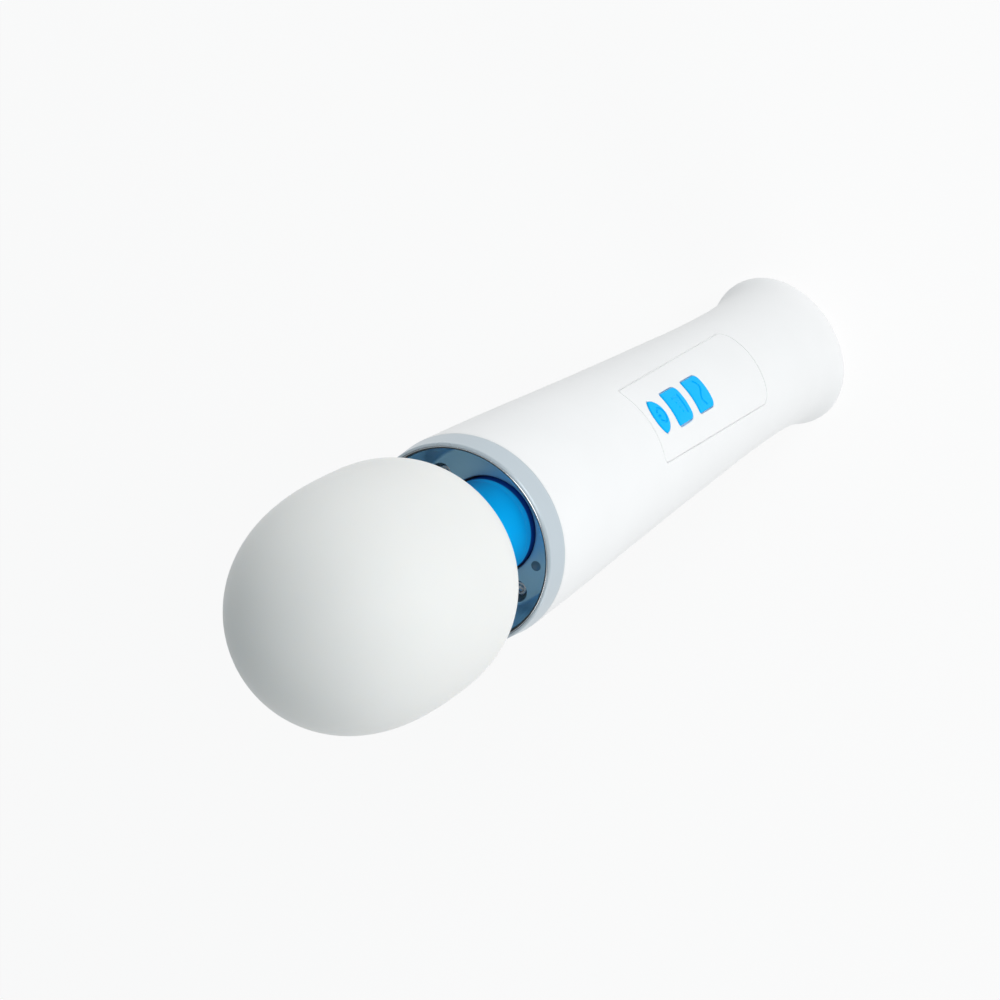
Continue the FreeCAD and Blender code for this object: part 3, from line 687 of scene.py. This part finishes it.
def build_head():
    """The soft round head, closed round the top of the neck."""
    mouth_radius = NECK_RADIUS + 0.12
    outline = [(mouth_radius, NECK_BOOT_TOP)]
    first = math.acos((mouth_radius + 0.75) / HEAD_RADIUS)
    low = HEAD_CENTRE - HEAD_DROP * math.sin(first) ** (2 / HEAD_DROP_POWER)
    outline += [(mouth_radius, low + 0.9)]
    outline += arc((mouth_radius + 0.6, low + 0.75), 0.6, 180, 260, 6)
    for angle in np.linspace(first, 0, 40):
        outline.append((HEAD_RADIUS * math.cos(angle),
                        HEAD_CENTRE - HEAD_DROP * math.sin(angle) ** (2 / HEAD_DROP_POWER)))
    for angle in np.linspace(0, math.pi / 2, 60)[1:]:
        outline.append((HEAD_RADIUS * math.cos(angle),
                        HEAD_CENTRE + HEAD_RISE * math.sin(angle) ** (2 / HEAD_RISE_POWER)))
    outline[-1] = (0.0, HEAD_CENTRE + HEAD_RISE)
    return revolve("head_soft_cap", outline, 256)


# ---------------------------------------------------------------- materials

def new_material(name, colour, roughness, metallic=0.0):
    material = bpy.data.materials.new(name)
    material.use_nodes = True
    shader = material.node_tree.nodes["Principled BSDF"]
    shader.inputs["Base Color"].default_value = (*colour, 1)
    shader.inputs["Roughness"].default_value = roughness
    shader.inputs["Metallic"].default_value = metallic
    return material, shader


def object_noise(material, scale, detail=2.0):
    tree = material.node_tree
    place = tree.nodes.new("ShaderNodeTexCoord")
    noise = tree.nodes.new("ShaderNodeTexNoise")
    noise.inputs["Scale"].default_value = scale
    noise.inputs["Detail"].default_value = detail
    tree.links.new(place.outputs["Object"], noise.inputs["Vector"])
    return noise.outputs["Fac"]


def add_bump(material, shader, height, strength, distance):
    tree = material.node_tree
    bump = tree.nodes.new("ShaderNodeBump")
    bump.inputs["Strength"].default_value = strength
    bump.inputs["Distance"].default_value = distance * MM
    tree.links.new(height, bump.inputs["Height"])
    tree.links.new(bump.outputs["Normal"], shader.inputs["Normal"])


def vary(material, value, low, high, socket):
    """Feed a noise value, mapped to a small range, into a shader socket."""
    tree = material.node_tree
    between = tree.nodes.new("ShaderNodeMapRange")
    between.inputs["To Min"].default_value = low
    between.inputs["To Max"].default_value = high
    between.inputs["From Min"].default_value = 0.3
    between.inputs["From Max"].default_value = 0.7
    tree.links.new(value, between.inputs["Value"])
    tree.links.new(between.outputs["Result"], socket)


def tint(material, shader, value, low, high):
    """Let the base colour drift between two close colours."""
    tree = material.node_tree
    ramp = tree.nodes.new("ShaderNodeValToRGB")
    ramp.color_ramp.elements[0].position = 0.3
    ramp.color_ramp.elements[1].position = 0.7
    ramp.color_ramp.elements[0].color = (*low, 1)
    ramp.color_ramp.elements[1].color = (*high, 1)
    tree.links.new(value, ramp.inputs["Fac"])
    tree.links.new(ramp.outputs["Color"], shader.inputs["Base Color"])


def moulded_plastic(name, colour, roughness, grain=1400.0):
    """Satin plastic with a fine moulded grain and slight unevenness of shine."""
    material, shader = new_material(name, colour, roughness)
    broad = object_noise(material, 28.0, 3.0)
    dim = tuple(0.97 * c for c in colour)
    tint(material, shader, broad, dim, colour)
    vary(material, broad, roughness - 0.03, roughness + 0.04, shader.inputs["Roughness"])
    add_bump(material, shader, object_noise(material, grain, 1.0), 0.05, 0.03)
    return material, shader


def white_shell():
    material, shader = moulded_plastic("shell_white", (0.875, 0.88, 0.885), 0.36)
    shader.inputs["Subsurface Weight"].default_value = 0.08
    shader.inputs["Subsurface Radius"].default_value = (0.004, 0.004, 0.004)
    shader.inputs["Coat Weight"].default_value = 0.12
    shader.inputs["Coat Roughness"].default_value = 0.3
    return material


def soft_white():
    material, shader = moulded_plastic("silicone_white", (0.83, 0.835, 0.82), 0.62, 1900.0)
    shader.inputs["Subsurface Weight"].default_value = 0.18
    shader.inputs["Subsurface Radius"].default_value = (0.006, 0.005, 0.004)
    shader.inputs["Sheen Weight"].default_value = 0.25
    shader.inputs["Sheen Roughness"].default_value = 0.4
    shader.inputs["Specular IOR Level"].default_value = 0.35
    return material


def soft_colour(name, colour, roughness, gloss=0.3):
    material, shader = moulded_plastic(name, colour, roughness, 1700.0)
    shader.inputs["Specular IOR Level"].default_value = gloss
    return material


def painted_shade_foot(name, dark, bright):
    """Silicone that is dark where it meets the cup's floor and brightens above it: partly its own
    navy, partly painted shade at the foot.
    """
    material, shader = new_material(name, dark, 0.45)
    tree = material.node_tree
    place = tree.nodes.new("ShaderNodeTexCoord")
    parts = tree.nodes.new("ShaderNodeSeparateXYZ")
    height = tree.nodes.new("ShaderNodeMapRange")
    height.inputs["From Min"].default_value = MM * (CUP_FLOOR - BASE + 0.7)
    height.inputs["From Max"].default_value = MM * (CUP_FLOOR - BASE + 2.2)
    tree.links.new(place.outputs["Object"], parts.inputs["Vector"])
    tree.links.new(parts.outputs["Z"], height.inputs["Value"])
    tint(material, shader, height.outputs["Result"], dark, bright)
    add_bump(material, shader, object_noise(material, 1700.0, 1.0), 0.05, 0.03)
    return material


def satin_chrome():
    """The cup's tinted metal floor and wall."""
    material, shader = new_material("cup_chrome", (0.36, 0.6, 0.72), 0.33, 0.55)
    vary(material, object_noise(material, 60.0, 4.0), 0.3, 0.37, shader.inputs["Roughness"])
    return material


def lip_painted_dark_reflection():
    """The cup's polished rolled lip, painted near-black as a painted dark reflection, so that it
    reads as a thin black line.
    """
    material, shader = new_material("cup_lip", (0.012, 0.014, 0.016), 0.08)
    vary(material, object_noise(material, 60.0, 4.0), 0.05, 0.1, shader.inputs["Roughness"])
    shader.inputs["Specular IOR Level"].default_value = 0.6
    return material


def pale_band():
    material, shader = moulded_plastic("collar_pale", (0.53, 0.6, 0.65), 0.3)
    shader.inputs["Metallic"].default_value = 0.25
    return material


def worked_metal(name, colour, roughness):
    material, shader = new_material(name, colour, roughness, 1.0)
    fine = object_noise(material, 900.0, 2.0)
    vary(material, fine, roughness - 0.05, roughness + 0.08, shader.inputs["Roughness"])
    add_bump(material, shader, fine, 0.04, 0.02)
    return material


def make_materials():
    """One material for each slot, and three more: painted shade for the cup's recesses, and a
    painted dark reflection and a painted highlight for its rolled lip.
    """
    navy, blue = (0.0, 0.045, 0.27), (0.0, 0.5, 1.0)
    return {
        "shell_white": white_shell(),
        "collar_pale": pale_band(),
        "cup_chrome": satin_chrome(),
        # painted dark reflection: near-black for the lip's inner side and the wall's top
        "cup_lip": lip_painted_dark_reflection(),
        # painted highlight: bright metal for the lip's outer side
        "cup_lip_painted_highlight": worked_metal("cup_lip_painted_highlight", (0.95, 0.96, 0.97), 0.2),
        # painted shade for the screw seats and the dimple
        "cup_recess_painted_shade": moulded_plastic("cup_recess_painted_shade", (0.13, 0.22, 0.27), 0.35)[0],
        "silicone_white": soft_white(),
        "silicone_blue": soft_colour("silicone_blue", blue, 0.42),
        # silicone_navy fades from navy at the cup's floor to blue above: partly the ring's own
        # navy, partly painted shade
        "silicone_navy": painted_shade_foot("silicone_navy", navy, blue),
        "button_blue": soft_colour("button_blue", (0.001, 0.5, 1.0), 0.5, 0.06),
        "screw_steel": worked_metal("screw_steel", (0.5, 0.52, 0.55), 0.22),
        "foot_grey": soft_colour("foot_grey", (0.5, 0.51, 0.52), 0.7),
        "contact_gold": worked_metal("contact_gold", (0.85, 0.62, 0.28), 0.25),
        "frame_grey": moulded_plastic("frame_grey", (0.3, 0.31, 0.33), 0.6)[0],
        "board_green": moulded_plastic("board_green", (0.03, 0.22, 0.1), 0.4)[0],
        "switch_black": moulded_plastic("switch_black", (0.03, 0.03, 0.03), 0.35)[0],
        "cell_wrap": moulded_plastic("cell_wrap", (0.1, 0.22, 0.42), 0.3)[0],
        "motor_steel": worked_metal("motor_steel", (0.55, 0.55, 0.56), 0.35),
        "bearing_steel": worked_metal("bearing_steel", (0.65, 0.65, 0.67), 0.2),
        "weight_brass": worked_metal("weight_brass", (0.72, 0.55, 0.28), 0.35),
        "core_black": soft_colour("core_black", (0.03, 0.03, 0.03), 0.7),
        "housing_grey": moulded_plastic("housing_grey", (0.5, 0.51, 0.53), 0.55)[0],
    }


# ---------------------------------------------------------------- scene

def build_pieces(materials):
    def place(obj, body, node, slot_name):
        return finish_piece(obj, body, [node], materials[slot_name])

    place(build_handle(), "handle", "handle_shell", "shell_white")
    place(build_panel(), "handle", "control_panel", "shell_white")
    place(build_collar(), "handle", "front_collar", "collar_pale")
    finish_cup(build_cup(), build_cup_lip(), materials)
    seal = place(build_neck_seal(), "handle", "neck_seal_ring", "silicone_navy")
    place(build_head(), "head", "head_cap", "silicone_white")
    for name, x, y in screw_places():
        place(build_screw(name, x, y), "handle", "cup_screw_" + name, "screw_steel")
    for name in BUTTON_SHAPES:
        place(build_button(name), name + "_button", "button_" + name, "button_blue")
    boot = place_bending(build_neck_boot(), "neck_boot", "silicone_blue", materials)
    place_bending(build_neck_core(), "neck_core", "core_black", materials)
    return [seal, boot]


def place_bending(obj, node, slot_name, materials):
    """A neck piece: it gets its material and a baked transform, and its CAD node is hidden."""
    obj.data.materials.clear()
    obj.data.materials.append(materials[slot_name])
    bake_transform(obj)
    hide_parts(node)
    return obj


def dress_cad_nodes(frame, materials):
    """The CAD nodes keep their shape and get the finishes that the record names."""
    for entry in frame["record"]["subparts"]:
        node = frame["nodes"][entry["node"]]
        node.data.materials.clear()
        node.data.materials.append(materials[entry["material_slot"]])


def build_floor():
    """A plain pale floor just under the wand, which glows evenly so that it stays plain."""
    corners = [(x * FLOOR_SIZE, y * FLOOR_SIZE, BASE - 0.05)
               for x, y in ((-1, -1), (1, -1), (1, 1), (-1, 1))]
    floor = mesh_object("studio_floor", corners, [(0, 1, 2, 3)])
    material, shader = new_material("studio_floor", (0.12, 0.12, 0.12), 0.9)
    shader.inputs["Specular IOR Level"].default_value = 0.1
    shader.inputs["Emission Color"].default_value = (1, 1, 1, 1)
    shader.inputs["Emission Strength"].default_value = FLOOR_GLOW
    floor.data.materials.append(material)


def aim(obj, target, roll=0.0):
    """Point an object's -Z axis at a place, then turn it about that axis."""
    way = Vector(target) - obj.location
    turn = way.to_track_quat("-Z", "Y").to_matrix().to_4x4()
    obj.matrix_world = (Matrix.Translation(obj.location) @ turn
                        @ Matrix.Rotation(math.radians(roll), 4, "Z"))


def add_light(name, location, size, power):
    """A square soft light that faces the middle of the studio."""
    light = bpy.data.lights.new(name, "AREA")
    light.shape = "SQUARE"
    light.size = size
    light.energy = power
    obj = bpy.data.objects.new(name, light)
    bpy.context.scene.collection.objects.link(obj)
    obj.location = location
    aim(obj, STUDIO_MIDDLE)
    return obj


def add_neck_light(pieces):
    """A soft light for the neck alone, which would otherwise lie in the head's shadow."""
    lamp = add_light("neck_light", NECK_LIGHT_POSITION, NECK_LIGHT_SIZE, NECK_LIGHT_POWER)
    lit = bpy.data.collections.new("neck_light_receivers")
    for obj in pieces:
        lit.objects.link(obj)
    lamp.light_linking.receiver_collection = lit


def build_world():
    """A dim even sky for light, which shows as bright as the floor where it is seen."""
    world = bpy.data.worlds.new("studio")
    bpy.context.scene.world = world
    world.use_nodes = True
    nodes, links = world.node_tree.nodes, world.node_tree.links
    sky = nodes["Background"]
    sky.inputs["Color"].default_value = SKY_COLOUR
    sky.inputs["Strength"].default_value = SKY_STRENGTH
    backdrop = nodes.new("ShaderNodeBackground")
    backdrop.inputs["Color"].default_value = (1, 1, 1, 1)
    backdrop.inputs["Strength"].default_value = BACKDROP_STRENGTH
    seen = nodes.new("ShaderNodeLightPath")
    blend = nodes.new("ShaderNodeMixShader")
    links.new(seen.outputs["Is Camera Ray"], blend.inputs["Fac"])
    links.new(sky.outputs["Background"], blend.inputs[1])
    links.new(backdrop.outputs["Background"], blend.inputs[2])
    links.new(blend.outputs["Shader"], nodes["World Output"].inputs["Surface"])


def light_scene(neck_pieces):
    build_world()
    for name, (location, power) in STUDIO_LIGHTS.items():
        add_light(name, location, STUDIO_LIGHT_SIZE, power)
    add_neck_light(neck_pieces)
    bpy.context.scene.view_settings.view_transform = "Standard"


def add_camera():
    data = bpy.data.cameras.new("camera")
    data.lens = CAMERA_LENS
    data.sensor_width = 36
    data.clip_start = 0.01
    camera = bpy.data.objects.new("camera", data)
    bpy.context.scene.collection.objects.link(camera)
    camera.location = [MM * c for c in CAMERA_POSITION]
    aim(camera, [MM * c for c in CAMERA_AIM], CAMERA_ROLL)
    bpy.context.scene.camera = camera


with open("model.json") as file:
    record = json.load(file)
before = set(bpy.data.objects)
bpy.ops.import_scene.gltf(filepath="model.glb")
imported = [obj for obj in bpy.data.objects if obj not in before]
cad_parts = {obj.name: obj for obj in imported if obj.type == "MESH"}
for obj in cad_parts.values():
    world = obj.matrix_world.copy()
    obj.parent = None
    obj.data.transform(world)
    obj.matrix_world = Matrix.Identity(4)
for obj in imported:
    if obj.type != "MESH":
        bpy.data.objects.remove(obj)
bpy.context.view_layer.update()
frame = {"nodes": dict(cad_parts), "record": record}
materials = make_materials()
dress_cad_nodes(frame, materials)
neck_pieces = build_pieces(materials)
build_floor()
light_scene(neck_pieces)
add_camera()
